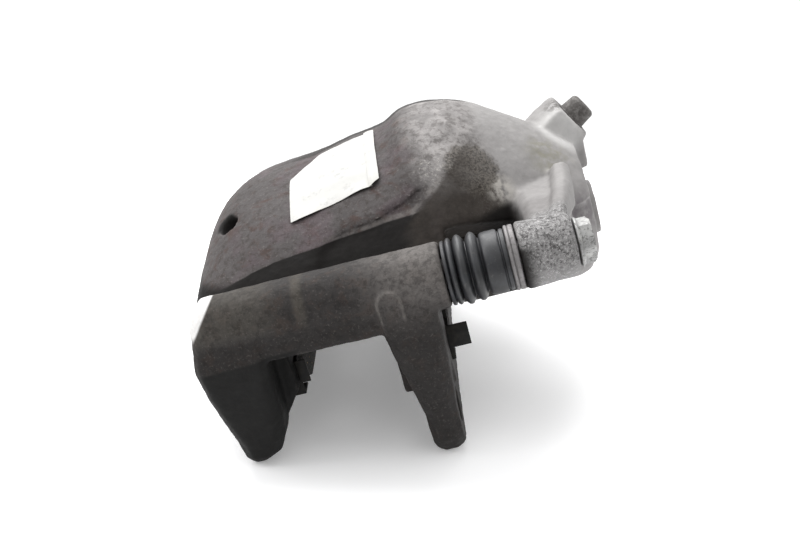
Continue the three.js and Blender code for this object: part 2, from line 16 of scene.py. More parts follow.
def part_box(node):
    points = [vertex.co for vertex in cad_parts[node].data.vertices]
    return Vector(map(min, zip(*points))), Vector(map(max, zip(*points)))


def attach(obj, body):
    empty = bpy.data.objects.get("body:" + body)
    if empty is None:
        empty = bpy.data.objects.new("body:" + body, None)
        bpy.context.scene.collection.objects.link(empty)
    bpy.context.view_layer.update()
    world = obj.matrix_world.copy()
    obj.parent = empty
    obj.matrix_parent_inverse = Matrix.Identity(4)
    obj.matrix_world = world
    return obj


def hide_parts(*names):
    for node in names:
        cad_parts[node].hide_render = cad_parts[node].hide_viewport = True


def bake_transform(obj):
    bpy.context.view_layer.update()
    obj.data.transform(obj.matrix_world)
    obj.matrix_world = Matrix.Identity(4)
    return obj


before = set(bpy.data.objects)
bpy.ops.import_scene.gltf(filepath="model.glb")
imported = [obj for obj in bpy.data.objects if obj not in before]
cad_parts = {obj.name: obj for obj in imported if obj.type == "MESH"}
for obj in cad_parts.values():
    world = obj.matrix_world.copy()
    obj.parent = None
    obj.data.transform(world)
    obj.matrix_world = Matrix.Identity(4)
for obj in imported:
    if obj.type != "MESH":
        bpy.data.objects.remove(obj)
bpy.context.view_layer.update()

MM = 0.001
MOUNT_FACE_X = 6.0  # the frame's origin, as drawn about the guide pins' line
MOUNT_HOLE_Z = -53.0
PIN_Y = 74.0
BORE_Z = -12.0
SIDES = ("near", "far")
TILT = math.radians(14.5)  # how far the unit leans when it stands on its feet
ARCH = (-5.4, 3.8, -1.2, -9)  # each beam's arch: middle X, half width, shoulder Z, foot Z
HOLE = (-61.8, -22.3, 18.4)  # the mouth of the small hole at the bridge's outboard end
INBOARD, OUTBOARD = (1, 0, 0), (-1, 0, 0)
UPWARD = (0, 0, 1)
TO_FAR, TO_NEAR = (0, 1, 0), (0, -1, 0)


def at(x, y, z):
    """A point drawn about the guide pins' line, in millimetres, as metres in the shared frame."""
    return Vector((x - MOUNT_FACE_X, y, z - MOUNT_HOLE_Z)) * MM


# ---------------------------------------------------------------- mesh helpers


def add_object(name, mesh):
    made = bpy.data.objects.new(name, mesh)
    bpy.context.scene.collection.objects.link(made)
    return made


def cad_copy(node, name):
    """A new object with a copy of a CAD node's mesh."""
    return add_object(name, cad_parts[node].data.copy())


def bake_modifiers(obj):
    """Puts the result of the modifiers into the mesh."""
    graph = bpy.context.evaluated_depsgraph_get()
    result = bpy.data.meshes.new_from_object(obj.evaluated_get(graph))
    obj.modifiers.clear()
    obj.data = result
    return obj


def shade_smooth(obj, sharp_degrees=None):
    mesh = obj.data
    mesh.polygons.foreach_set("use_smooth", [True] * len(mesh.polygons))
    if sharp_degrees is not None:
        mesh.set_sharp_from_angle(angle=math.radians(sharp_degrees))
    return obj


def vertex_vectors(mesh, attribute):
    flat = np.empty(len(mesh.vertices) * 3)
    mesh.vertices.foreach_get(attribute, flat)
    return flat.reshape(-1, 3)


def get_points(mesh):
    return vertex_vectors(mesh, "co")


def get_normals(mesh):
    return vertex_vectors(mesh, "normal")


def get_drawn_points(mesh):
    """The vertices in millimetres about the guide pins' line."""
    return get_points(mesh) / MM + np.array((MOUNT_FACE_X, 0, MOUNT_HOLE_Z))


def set_points(mesh, points):
    mesh.vertices.foreach_set("co", points.reshape(-1))
    mesh.update()


def relax(mesh, rounds, weight):
    """Moves each vertex towards the middle of its neighbours, by its own weight."""
    points = get_points(mesh)
    ends = np.empty(len(mesh.edges) * 2, dtype=np.int64)
    mesh.edges.foreach_get("vertices", ends)
    first, second = ends[0::2], ends[1::2]
    count = len(points)
    degree = np.bincount(first, minlength=count) + np.bincount(second, minlength=count)
    degree = np.maximum(degree, 1)[:, None]
    for _ in range(rounds):
        total = np.stack(
            [
                np.bincount(first, points[second, axis], count)
                + np.bincount(second, points[first, axis], count)
                for axis in range(3)
            ],
            axis=1,
        )
        points += weight[:, None] * (total / degree - points)
    set_points(mesh, points)


def roughen(mesh, layers):
    """Pushes the surface in and out by noise; layers hold (feature size mm, height mm)."""
    points = get_points(mesh)
    normals = get_normals(mesh)
    push = np.zeros(len(points))
    for size, height in layers:
        frequency = 1 / (size * MM)
        push += [height * MM * noise.noise(Vector(p) * frequency) for p in points]
    set_points(mesh, points + normals * push[:, None])


FLOW_ROUNDS = 26


def cast_piece(node, name, voxel, edge_rounds, soft_weight, layers):
    """A CAD casting with rounded edges and the uneven skin of sand-cast iron.

    edge_rounds sets how far every edge is rounded; soft_weight(points, normals) says where the
    skin flows more.
    """
    piece = cad_copy(node, name)
    remesh = piece.modifiers.new("voxels", "REMESH")
    remesh.mode = "VOXEL"
    remesh.voxel_size = voxel * MM
    bake_modifiers(piece)
    relax(piece.data, edge_rounds, np.full(len(piece.data.vertices), 0.5))
    weight = soft_weight(get_drawn_points(piece.data), get_normals(piece.data))
    relax(piece.data, FLOW_ROUNDS, weight)
    roughen(piece.data, layers)
    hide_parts(node)
    return shade_smooth(piece)


def bevelled(node, name, width, segments=2, angle=35):
    """A CAD piece with its sharp edges rounded."""
    piece = cad_copy(node, name)
    weld = piece.modifiers.new("weld", "WELD")
    weld.merge_threshold = 0.002 * MM
    bevel = piece.modifiers.new("edges", "BEVEL")
    bevel.width = width * MM
    bevel.segments = segments
    bevel.limit_method = "ANGLE"
    bevel.angle_limit = math.radians(angle)
    bevel.use_clamp_overlap = True
    bake_modifiers(piece)
    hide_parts(node)
    return shade_smooth(piece, 40)


def turned(name, profile, origin, axis=(1, 0, 0), segments=96, section=None):
    """A turned piece: profile holds (distance, radius) pairs in mm along the axis from origin.

    section(radius, along, angle) may change the radius, to make a hexagon or an uneven skin.
    """
    turn = Vector((0, 0, 1)).rotation_difference(Vector(axis)).to_matrix()
    builder = bmesh.new()
    rings = []
    for along, radius in profile:
        ring = []
        for i in range(segments):
            a = 2 * math.pi * i / segments
            r = section(radius, along, a) if section else radius
            local = Vector((r * math.cos(a), r * math.sin(a), along)) * MM
            ring.append(builder.verts.new(origin + turn @ local))
        rings.append(ring)
    closed = profile[0][1] > 0
    pairs = list(zip(rings, rings[1:])) + ([(rings[-1], rings[0])] if closed else [])
    for low, high in pairs:
        for i in range(segments):
            j = (i + 1) % segments
            builder.faces.new((low[i], low[j], high[j], high[i]))
    bmesh.ops.remove_doubles(builder, verts=builder.verts, dist=0.0005 * MM)
    bmesh.ops.recalc_face_normals(builder, faces=builder.faces)
    mesh = bpy.data.meshes.new(name)
    builder.to_mesh(mesh)
    builder.free()
    return shade_smooth(add_object(name, mesh), 38)


def hexagon(across):
    """A section that cuts a round piece down to a hexagon of this size across its flats."""

    def section(radius, along, angle):
        sector = (angle + math.pi / 6) % (math.pi / 3) - math.pi / 6
        return min(radius, across / 2 / math.cos(sector))

    return section


def bolt_head(start, end, across):
    """Profile of a hexagon head whose outer corners are turned off and whose face is dished."""
    corner = across / math.sqrt(3)
    dish = across * 0.43
    return [
        (start, 0), (start, corner), (end - 0.9, corner), (end, across / 2 - 0.1),
        (end, dish), (end - 0.4, dish - 0.8), (end - 0.4, 0),
    ]


def centre_of(node):
    """The middle of a CAD node's box."""
    low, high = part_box(node)
    return (Vector(low) + Vector(high)) / 2


def arc_points(centre, radius, start, end, steps):
    """Points on an arc in the (distance, radius) plane, angles in degrees."""
    cx, cr = centre
    angles = [math.radians(start + (end - start) * i / steps) for i in range(steps + 1)]
    return [(cx + radius * math.cos(a), cr + radius * math.sin(a)) for a in angles]


# ---------------------------------------------------------------- material helpers


class Shader:
    """A node material built step by step; sockets or plain values go in, sockets come out."""

    def __init__(self, name):
        self.material = bpy.data.materials.new(name)
        self.material.use_nodes = True
        self.tree = self.material.node_tree
        self.bsdf = self.tree.nodes["Principled BSDF"]
        coordinates = self.tree.nodes.new("ShaderNodeTexCoord")
        self.place = coordinates.outputs["Object"]
        self.normal = coordinates.outputs["Normal"]

    def node(self, kind, **inputs):
        made = self.tree.nodes.new(kind)
        for key, value in inputs.items():
            self.feed(made.inputs[key.replace("_", " ")], value)
        return made

    def feed(self, socket, value):
        if isinstance(value, bpy.types.NodeSocket):
            self.tree.links.new(value, socket)
        else:
            socket.default_value = value

    def noise(self, size, detail=4.0, roughness=0.6, distortion=0.0):
        """Cloudy noise whose features are about size millimetres."""
        made = self.node(
            "ShaderNodeTexNoise",
            Vector=self.place,
            Scale=1 / (size * MM),
            Detail=detail,
            Roughness=roughness,
            Distortion=distortion,
        )
        return made.outputs["Fac"]

    def cells(self, size):
        """Distance to the nearest of scattered points, about size millimetres apart."""
        made = self.node("ShaderNodeTexVoronoi", Vector=self.place, Scale=1 / (size * MM))
        return made.outputs["Distance"]

    def step(self, value, low, high):
        """Zero below low, one above high, smooth between."""
        made = self.node("ShaderNodeMapRange", Value=value)
        made.interpolation_type = "SMOOTHSTEP"
        made.inputs["From Min"].default_value = low
        made.inputs["From Max"].default_value = high
        return made.outputs["Result"]

    def math(self, operation, a, b=0.0):
        made = self.tree.nodes.new("ShaderNodeMath")
        made.operation = operation
        made.use_clamp = operation in ("ADD", "MULTIPLY")
        self.feed(made.inputs[0], a)
        self.feed(made.inputs[1], b)
        return made.outputs[0]

    def both(self, a, b):
        """The product of two masks."""
        return self.math("MULTIPLY", a, b)

    def inverse(self, mask):
        return self.math("SUBTRACT", 1.0, mask)

    def scaled(self, value, factor):
        return self.math("MULTIPLY", value, factor)

    def feed_colour(self, socket, colour):
        self.feed(socket, (*colour, 1) if isinstance(colour, tuple) else colour)

    def mix(self, amount, a, b):
        """Colour a where amount is zero, colour b where it is one."""
        made = self.tree.nodes.new("ShaderNodeMix")
        made.data_type = "RGBA"
        self.feed(made.inputs["Factor"], amount)
        self.feed_colour(made.inputs[6], a)
        self.feed_colour(made.inputs[7], b)
        return made.outputs[2]

    def paint(self, under, place, colour, strength):
        """Lays a colour over another within a mask, at most at this strength."""
        return self.mix(self.scaled(place, strength), under, colour)

    def varied(self, value, low, high):
        """A value that drifts between low and high, for roughness."""
        return self.node("ShaderNodeMapRange", Value=value, To_Min=low, To_Max=high).outputs["Result"]

    def along(self, direction, low, high):
        """Zero to one as the surface's place goes from low to high mm along a direction.

        Low and high are measured about the guide pins' line, like every size in this script.
        """
        made = self.tree.nodes.new("ShaderNodeVectorMath")
        made.operation = "DOT_PRODUCT"
        self.feed(made.inputs[0], self.place)
        made.inputs[1].default_value = direction
        shift = Vector(direction).dot(at(0, 0, 0))
        return self.step(made.outputs["Value"], low * MM + shift, high * MM + shift)

    def up(self):
        """How far the surface faces up: one on top, zero on a wall."""
        parts = self.node("ShaderNodeSeparateXYZ", Vector=self.normal)
        return self.math("MAXIMUM", parts.outputs["Z"], 0.0)

    def sides(self, low, high):
        """Zero in the middle, one beyond high mm from it on either side."""
        parts = self.node("ShaderNodeSeparateXYZ", Vector=self.place)
        return self.step(self.math("ABSOLUTE", parts.outputs["Y"]), low * MM, high * MM)

    def near(self, spot, inner, outer):
        """One within inner mm of a drawn spot, fading to zero at outer mm."""
        made = self.tree.nodes.new("ShaderNodeVectorMath")
        made.operation = "DISTANCE"
        self.feed(made.inputs[0], self.place)
        made.inputs[1].default_value = at(*spot)
        return self.inverse(self.step(made.outputs["Value"], inner * MM, outer * MM))

    def edge(self, low, high):
        """One on convex edges, zero in hollows."""
        return self.step(self.node("ShaderNodeNewGeometry").outputs["Pointiness"], low, high)

    def bump(self, height, distance, strength=1.0, after=None):
        made = self.node("ShaderNodeBump", Height=height, Strength=strength)
        made.inputs["Distance"].default_value = distance * MM
        if after is not None:
            self.feed(made.inputs["Normal"], after)
        return made.outputs["Normal"]

    def finish(self, color, roughness, metallic=0.0, normal=None, specular=0.5):
        self.feed_colour(self.bsdf.inputs["Base Color"], color)
        self.feed(self.bsdf.inputs["Roughness"], roughness)
        self.feed(self.bsdf.inputs["Metallic"], metallic)
        self.bsdf.inputs["Specular IOR Level"].default_value = specular
        if normal is not None:
            self.feed(self.bsdf.inputs["Normal"], normal)
        return self.material


def pitted_normal(s, coarse=1.8, fine=0.6, depth=0.14):
    """The grain of cast or corroded iron: soft lumps with finer pits in them."""
    lumps = s.bump(s.noise(coarse, 3), depth, 0.9)
    return s.bump(s.noise(fine, 5, 0.7), depth * 0.5, 0.8, lumps)


def grained(s, iron, dark, light, amount):
    """Breaks a plain colour up with millimetre-sized dark rust spots and finer pale specks."""
    spots = s.step(s.noise(2.6, 6, 0.75, 0.3), 0.46, 0.62)
    iron = s.paint(iron, spots, dark, amount)
    specks = s.step(s.noise(0.9, 4, 0.8), 0.54, 0.68)
    return s.paint(iron, specks, light, amount * 0.7)


def crown_colour(s):
    """The bridge's top: violet-grey iron with brown stains."""
    grey = s.mix(s.noise(14), (0.052, 0.047, 0.046), (0.088, 0.081, 0.081))
    rust = s.step(s.noise(7, 6, 0.65, 0.4), 0.5, 0.66)
    rusty = s.paint(grey, rust, (0.056, 0.032, 0.026), 0.65)
    return s.paint(rusty, s.step(s.noise(22, 2), 0.5, 0.6), (0.095, 0.07, 0.08), 0.4)


def shaded_band(s, iron):
    """A dark band painted along the bridge and dome, just beyond their highest line: painted shade on
    the far side of the raised rib.

    It lies between Y 3 and 16, and fades out towards the outboard end and the horn.
    """
    near_edge = s.math("ADD", s.along(TO_FAR, 3, 6), s.scaled(s.noise(5, 3), 0.3))
    across = s.both(s.step(near_edge, 0.4, 0.8), s.along(TO_NEAR, -16, -12))
    along = s.both(s.along(INBOARD, -46, -30), s.along(OUTBOARD, -46, -34))
    # painted shade: the near-black band on the far slope beyond the crest
    return s.paint(iron, s.both(across, along), (0.014, 0.0125, 0.012), 0.85)


def dome_colour(s):
    """The dome over the cylinder: barer and paler on top, darker brown down its side; the dark side
    is partly grime and partly painted shade.
    """
    top = s.mix(s.step(s.noise(7, 5), 0.3, 0.7), (0.155, 0.147, 0.144), (0.29, 0.277, 0.271))
    side = s.mix(s.noise(2.5, 5, 0.7), (0.022, 0.018, 0.015), (0.075, 0.066, 0.058))
    height = s.math("ADD", s.along(UPWARD, 8, 24), s.scaled(s.noise(6, 4), 0.4))
    return s.mix(s.step(height, 0.45, 0.95), side, top)


def ridge_line(s, iron):
    """A paler line painted along the ridge over the flanks, a painted highlight where the ridge
    catches the light: level, then up on to the dome.
    """

    def band(direction, low, high):
        return s.both(s.along(direction, low, low + 0.8), beyond(direction, high))

    def beyond(direction, high):
        return s.inverse(s.along(direction, high, high + 1.0))

    level = s.both(band((-0.07, 0, 1), 12.8, 14.0), s.along(INBOARD, -30, -22))
    level = s.both(level, beyond(INBOARD, 8))
    rise = s.both(band((-0.64, 0, 1), 8.6, 10.0), s.along(INBOARD, 5, 8))
    rise = s.both(rise, beyond(INBOARD, 18))
    line = s.both(s.math("ADD", level, rise), s.step(s.noise(3, 5), 0.35, 0.6))
    return s.paint(iron, line, (0.16, 0.148, 0.14), 0.55)


def flank_shade_and_grime(s, iron):
    """Painted shade and grease on the flanks: nearly black under the bridge's long ridge and under
    the dome's rim.

    The ridge climbs slowly inboard, drops to the outboard lip, and rises steeply on to the dome.
    """
    black = s.mix(s.noise(5, 5), (0.003, 0.0028, 0.0026), (0.012, 0.0102, 0.0095))
    # painted shade, with some grease: nearly black below the bridge's ridge line
    under_bridge = s.inverse(s.along((-0.07, 0, 1), 11.6, 14.6))
    under_lip = s.inverse(s.along((-0.27, 0, 1), 20.8, 23.8))
    low = s.both(under_bridge, under_lip)
    under_ridge = s.step(s.math("ADD", low, s.scaled(s.noise(4, 5), 0.3)), 0.55, 0.8)
    outboard = s.inverse(s.along(INBOARD, 10, 16))
    iron = s.mix(s.both(under_ridge, outboard), iron, black)
    # painted shade: near black low down under the dome's rim, in the hollow behind the boots
    under_rim = s.inverse(s.along(UPWARD, 4.5, 7.5))
    inboard = s.inverse(s.along(INBOARD, 38, 44))
    iron = s.mix(s.both(under_rim, inboard), iron, (0.006, 0.005, 0.0045))
    # brown, partly grime and partly painted shade, under where the ridge climbs on to the dome
    under_rise = s.inverse(s.along((-0.64, 0, 1), 7.2, 9.6))
    rise = s.both(s.along(INBOARD, 0, 8), s.inverse(s.along(INBOARD, 22, 34)))
    brown = s.mix(s.noise(2.5, 5, 0.7), (0.011, 0.009, 0.008), (0.05, 0.042, 0.036))
    iron = s.paint(iron, s.both(under_rise, rise), brown, 0.85)
    # painted shade round the small hole, darkening its mouth
    return s.paint(iron, s.near(HOLE, 3.4, 5.2), (0.006, 0.0055, 0.005), 0.95)


def pale_metal(s, iron):
    """Bare, sandblasted-looking metal towards the horn, with a green-tan bloom of dust and a painted
    highlight on the horn's front.
    """
    pale = s.mix(s.noise(3, 5), (0.19, 0.183, 0.18), (0.33, 0.32, 0.315))
    place = s.math("ADD", s.along((1, 0, 0.2), 28, 56), s.scaled(s.noise(10, 4), 0.4))
    iron = s.mix(s.step(place, 0.45, 0.8), iron, pale)
    dust = s.both(s.near((57, -16, 13), 3, 13), s.step(s.noise(4, 4), 0.35, 0.65))
    iron = s.paint(iron, dust, (0.19, 0.182, 0.13), 0.6)
    # painted highlight: a near-white spot on the front of the horn
    bright = s.mix(s.noise(4, 4), (0.36, 0.355, 0.35), (0.56, 0.55, 0.54))
    iron = s.mix(s.near((66, 1, 16), 6, 14), iron, bright)
    grime = s.both(s.near((65, 9, 28), 3, 9), s.step(s.noise(2.2, 5, 0.7), 0.4, 0.6))
    iron = s.paint(iron, grime, (0.06, 0.055, 0.05), 0.8)
    web = s.both(s.near((38, -35, 11), 2, 8), s.step(s.noise(3, 4), 0.3, 0.6))
    iron = s.paint(iron, web, (0.42, 0.4, 0.37), 0.8)
    lug_root = s.both(s.near((47, -55, 6), 6, 14), s.noise(2.5, 4))
    iron = s.paint(iron, lug_root, (0.12, 0.112, 0.11), 0.8)
    tint = s.both(s.near((64, -28, -9), 2, 14), s.step(s.noise(5, 5), 0.35, 0.65))
    return s.paint(iron, tint, (0.1, 0.085, 0.098), 0.7)


def corroded_patch(s, iron):
    """A ragged dark patch on the dome with a bloom of white specks beside it."""
    ragged = s.math("ADD", s.near((30, -34, 21), 3, 16), s.scaled(s.noise(2.4, 6, 0.75), 0.9))
    pits = s.step(s.noise(0.9, 4, 0.8), 0.42, 0.56)
    corroded = s.mix(pits, (0.02, 0.017, 0.013), (0.11, 0.098, 0.085))
    iron = s.paint(iron, s.step(ragged, 0.72, 1.08), corroded, 0.85)
    specks = s.both(s.step(s.noise(0.9, 5, 0.85), 0.5, 0.66), s.step(s.noise(3.5, 4), 0.38, 0.6))
    bloom = s.both(s.near((18, -36, 24), 2, 12), specks)
    return s.paint(iron, bloom, (0.46, 0.44, 0.41), 0.75)


def lug_speckle(s, iron):
    """Black and white speckle on the two lugs."""
    lugs = s.both(s.along(INBOARD, 36, 40), s.sides(56, 66))
    base = s.mix(s.noise(3, 4), (0.17, 0.166, 0.165), (0.3, 0.295, 0.293))
    iron = s.mix(lugs, iron, base)
    upper = s.math("ADD", s.along(UPWARD, -8, 8), s.scaled(s.noise(5, 3), 0.5))
    dark = s.both(s.step(s.noise(1.4, 5, 0.85, 0.3), 0.46, 0.58), s.step(upper, 0.2, 0.7))
    iron = s.paint(iron, s.both(lugs, dark), (0.035, 0.032, 0.032), 0.8)
    light = s.both(lugs, s.step(s.noise(0.9, 4, 0.85), 0.52, 0.64))
    return s.paint(iron, light, (0.5, 0.49, 0.485), 0.7)


def housing_iron():
    """Grey iron: stained on top, nearly black down the flanks with painted shade, pale at the horn
    and the lugs, with a painted dark band and painted highlights.
    """
    s = Shader("housing_iron")
    iron = s.mix(s.along((1, 0, 0.25), 12, 26), crown_colour(s), dome_colour(s))
    iron = grained(s, iron, (0.03, 0.023, 0.02), (0.2, 0.185, 0.175), 0.5)
    iron = shaded_band(s, iron)
    iron = pale_metal(s, iron)
    iron = corroded_patch(s, iron)
    iron = lug_speckle(s, iron)
    worn = s.both(s.edge(0.52, 0.58), s.step(s.noise(2, 4), 0.35, 0.6))
    iron = s.paint(iron, worn, (0.2, 0.185, 0.175), 0.4)
    iron = flank_shade_and_grime(s, iron)
    iron = ridge_line(s, iron)
    roughness = s.varied(s.noise(3, 5), 0.45, 0.75)
    return s.finish(iron, roughness, 0.15, pitted_normal(s), 0.12)


def outboard_dust(s, iron):
    """Olive dust on the outboard end of each beam's top."""
    outboard = s.inverse(s.along(INBOARD, -50, -36))
    place = s.both(outboard, s.along(UPWARD, -4, 2))
    olive = s.mix(s.noise(1.1, 4, 0.7), (0.03, 0.027, 0.023), (0.105, 0.096, 0.083))
    return s.paint(iron, place, olive, 0.6)


def boot_dust(s, iron):
    """Pale dust on each beam's inboard end, beside the boot."""
    place = s.both(s.along(INBOARD, -22, 6), s.along(UPWARD, -16, 6))
    dust = s.mix(s.noise(1.0, 4, 0.8), (0.036, 0.031, 0.029), (0.26, 0.242, 0.23))
    return s.paint(iron, place, dust, 0.75)


def beam_seam(s, iron):
    """A faint pale band round each beam where a clip has rubbed."""
    band = s.both(s.along(INBOARD, -36, -34), s.along(OUTBOARD, 30.5, 32.5))
    place = s.both(band, s.along(UPWARD, -6, 5))
    return s.paint(iron, place, (0.13, 0.115, 0.09), 0.25)


def leg_shade(s, iron):
    """The outboard legs are painted darker: painted shade under the beams' lower edge, where the legs
    look set back.
    """
    outboard = s.inverse(s.along(INBOARD, -42, -34))
    leg = s.both(outboard, s.along((0.03, 0, -1), 8.2, 9.4))
    leg_shade_colour = s.mix(s.noise(4), (0.005, 0.005, 0.005), (0.012, 0.012, 0.0116))
    # painted shade laid over the legs below the beams
    return s.paint(iron, leg, leg_shade_colour, 0.93)


def arch_line(s, iron):
    """A paler line painted on the rim of the arch-shaped edge on each beam's face: a painted
    highlight where the rim catches the light.
    """
    middle_x, half_width, shoulder_z, foot_z = ARCH
    parts = s.node("ShaderNodeSeparateXYZ", Vector=s.place)
    across = s.math("SUBTRACT", parts.outputs["X"], at(middle_x, 0, 0).x)
    above = s.math("MAXIMUM", s.math("SUBTRACT", parts.outputs["Z"], at(0, 0, shoulder_z).z), 0.0)
    reach = s.math("SQRT", s.math("ADD", s.both(across, across), s.both(above, above)))
    off = s.math("ABSOLUTE", s.math("SUBTRACT", reach, half_width * MM))
    rim = s.inverse(s.step(off, 0.2 * MM, 0.8 * MM))
    face = s.both(s.sides(80, 83), s.along(UPWARD, foot_z, foot_z + 3))
    place = s.both(s.both(rim, face), s.step(s.noise(3, 4), 0.25, 0.6))
    return s.paint(iron, place, (0.16, 0.148, 0.138), 0.42)


def carrier_iron():
    """Nearly black iron with brown bloom, dusty near the boot, and one corner ground bright."""
    s = Shader("carrier_iron")
    black = s.mix(s.noise(12), (0.022, 0.0202, 0.0198), (0.042, 0.0385, 0.0375))
    rust = s.step(s.noise(5, 6, 0.7, 0.5), 0.48, 0.66)
    iron = s.paint(black, rust, (0.05, 0.034, 0.027), 0.5)
    lower = s.inverse(s.along(UPWARD, -7, 3))
    iron = s.paint(iron, lower, (0.013, 0.0118, 0.0112), 0.5)
    iron = outboard_dust(s, iron)
    iron = boot_dust(s, iron)
    iron = beam_seam(s, iron)
    iron = grained(s, iron, (0.009, 0.008, 0.0075), (0.13, 0.118, 0.11), 0.42)
    iron = arch_line(s, leg_shade(s, iron))
    worn = s.both(s.edge(0.52, 0.58), s.step(s.noise(2, 4), 0.38, 0.6))
    iron = s.paint(iron, worn, (0.17, 0.155, 0.145), 0.4)
    end = s.inverse(s.along((1, 0, -0.76), -70.4, -69.3))
    ground = s.mix(s.noise(1.2, 4), (0.5, 0.49, 0.48), (0.8, 0.79, 0.78))
    near_top = s.both(s.along(UPWARD, -1, 3), s.along(TO_NEAR, 20, 30))
    iron = s.mix(s.both(end, near_top), iron, ground)
    roughness = s.varied(s.noise(3, 5), 0.5, 0.8)
    return s.finish(iron, roughness, 0.1, pitted_normal(s, 2.0, 0.7, 0.16), 0.14)


def zinc_steel():
    """Dull zinc with grey corrosion flecks."""
    s = Shader("zinc_steel")
    base = s.mix(s.step(s.noise(4, 5), 0.35, 0.65), (0.3, 0.3, 0.295), (0.44, 0.44, 0.43))
    spots = s.scaled(s.step(s.noise(1.0, 4, 0.75), 0.48, 0.62), 0.8)
    flecked = s.mix(spots, base, (0.085, 0.082, 0.08))
    roughness = s.varied(s.noise(2, 5), 0.35, 0.6)
    return s.finish(flecked, roughness, 0.45, s.bump(s.noise(0.7, 4, 0.7), 0.06, 0.9))


def dusty_steel():
    """Steel dulled by brown-grey dust."""
    s = Shader("dusty_steel")
    base = s.mix(s.noise(2.5, 5), (0.13, 0.122, 0.122), (0.26, 0.25, 0.25))
    dark = s.paint(base, s.step(s.noise(1.1, 4, 0.7), 0.5, 0.66), (0.07, 0.06, 0.058), 0.6)
    return s.finish(dark, 0.52, 0.35, s.bump(s.noise(0.6, 4), 0.04, 0.7))


def ground_steel():
    """Ground steel with faint brown stains."""
    s = Shader("ground_steel")
    base = s.mix(s.step(s.noise(6, 4), 0.4, 0.65), (0.34, 0.335, 0.33), (0.46, 0.455, 0.45))
    stain = s.paint(base, s.step(s.noise(2.2, 5), 0.56, 0.68), (0.14, 0.11, 0.09), 0.5)
    return s.finish(stain, 0.34, 0.8, s.bump(s.noise(0.5, 3), 0.02, 0.6))


def black_sheet():
    """Black-coated spring steel, a little brown with dust."""
    s = Shader("black_sheet")
    base = s.mix(s.step(s.noise(3, 5), 0.4, 0.68), (0.004, 0.0037, 0.0035), (0.014, 0.012, 0.0095))
    return s.finish(base, 0.5, 0.1, s.bump(s.noise(0.8, 4), 0.04, 0.6), 0.2)


def black_rubber():
    """Moulded rubber with a bluish bloom on its upward faces, partly a painted sheen, and a little
    dust on it.
    """
    s = Shader("black_rubber")
    base = s.mix(s.step(s.noise(5, 4), 0.35, 0.7), (0.009, 0.0093, 0.0105), (0.022, 0.0235, 0.0275))
    # painted sheen: upward faces are painted a paler blue-grey, partly the rubber's bloom
    upward = s.step(s.up(), 0.1, 0.9)
    bloom = s.paint(base, upward, (0.06, 0.061, 0.065), 0.4)
    dust = s.paint(bloom, s.step(s.noise(1.4, 5, 0.7), 0.56, 0.7), (0.13, 0.126, 0.12), 0.3)
    roughness = s.varied(s.noise(4, 4), 0.34, 0.55)
    return s.finish(dust, roughness, 0.0, s.bump(s.noise(0.6, 3), 0.03, 0.5))


def dusty_rubber():
    """Old rubber, brown and pale with road dirt in its pores."""
    s = Shader("dusty_rubber")
    base = s.mix(s.noise(3, 5), (0.03, 0.026, 0.023), (0.09, 0.082, 0.078))
    dust = s.paint(base, s.step(s.noise(2.0, 5, 0.75), 0.42, 0.66), (0.17, 0.162, 0.155), 0.7)
    return s.finish(dust, 0.7, 0.0, s.bump(s.noise(0.8, 5, 0.7), 0.12, 0.8))


def friction_compound():
    """Dark moulded compound with grit and small brass chips."""
    s = Shader("friction_compound")
    pale = s.step(s.noise(0.8, 4, 0.8), 0.45, 0.65)
    grit = s.mix(pale, (0.02, 0.019, 0.018), (0.07, 0.065, 0.06))
    chips = s.inverse(s.step(s.cells(2.3), 0.08, 0.14))
    compound = s.mix(chips, grit, (0.4, 0.28, 0.12))
    return s.finish(compound, 0.85, 0.0, s.bump(s.noise(0.7, 5, 0.8), 0.15, 0.9))


def label_paper():
    """White paper, faintly smudged and yellowed in places."""
    s = Shader("label_paper")
    smudge = s.both(s.step(s.noise(7, 3), 0.48, 0.66), s.step(s.noise(1.5, 4), 0.42, 0.7))
    base = s.paint((0.49, 0.487, 0.47), smudge, (0.27, 0.27, 0.27), 0.6)
    aged = s.paint(base, s.step(s.noise(9, 2), 0.5, 0.8), (0.42, 0.39, 0.32), 0.3)
    return s.finish(aged, 0.62, 0.0, s.bump(s.noise(3, 3), 0.06, 0.5))


LOOKS = {
    make.__name__: make()
    for make in (
        housing_iron, carrier_iron, zinc_steel, dusty_steel, ground_steel,
        black_sheet, black_rubber, dusty_rubber, friction_compound, label_paper,
    )
}


def dressed(obj, body, look):
    """Gives a finished piece its material and the body it rides on, if any."""
    obj.data.materials.clear()
    obj.data.materials.append(LOOKS[look])
    if body:
        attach(obj, body)
    return obj


# ---------------------------------------------------------------- castings


def housing_softness(points, normals):
    """The crown is one flowing surface; lugs, fingers and holes keep their edges."""
    x, y, z = points.T
    skirt_z, lug_y, horn_x, most = 2, 64, 50, 0.42
    hole_x, hole_y, hole_clearance = -60.7, -25, 7
    crown = np.clip((z - skirt_z) / 6, 0, 1) * np.clip((lug_y - np.abs(y)) / 5, 0, 1)
    away_from_horn = np.clip((horn_x - x) / 10, 0, 1)
    from_hole = np.hypot(x - hole_x, y - hole_y)
    away_from_hole = np.clip((from_hole - hole_clearance) / 5, 0, 1)
    upward = np.clip(normals[:, 2] * 4 + 0.6, 0, 1)
    return most * crown * away_from_horn * away_from_hole * upward


def carrier_softness(points, normals):
    """The arms flow; the beams' ends, the feet and the machined faces stay crisp."""
    y, z = points[:, 1], points[:, 2]
    beam_z, foot_z, arm_y, most = -14, -42, 64, 0.12
    arm = np.clip((beam_z - z) / 5, 0, 1) * np.clip((z - foot_z) / 5, 0, 1)
    return most * arm * np.clip((np.abs(y) - arm_y) / 4, 0, 1)


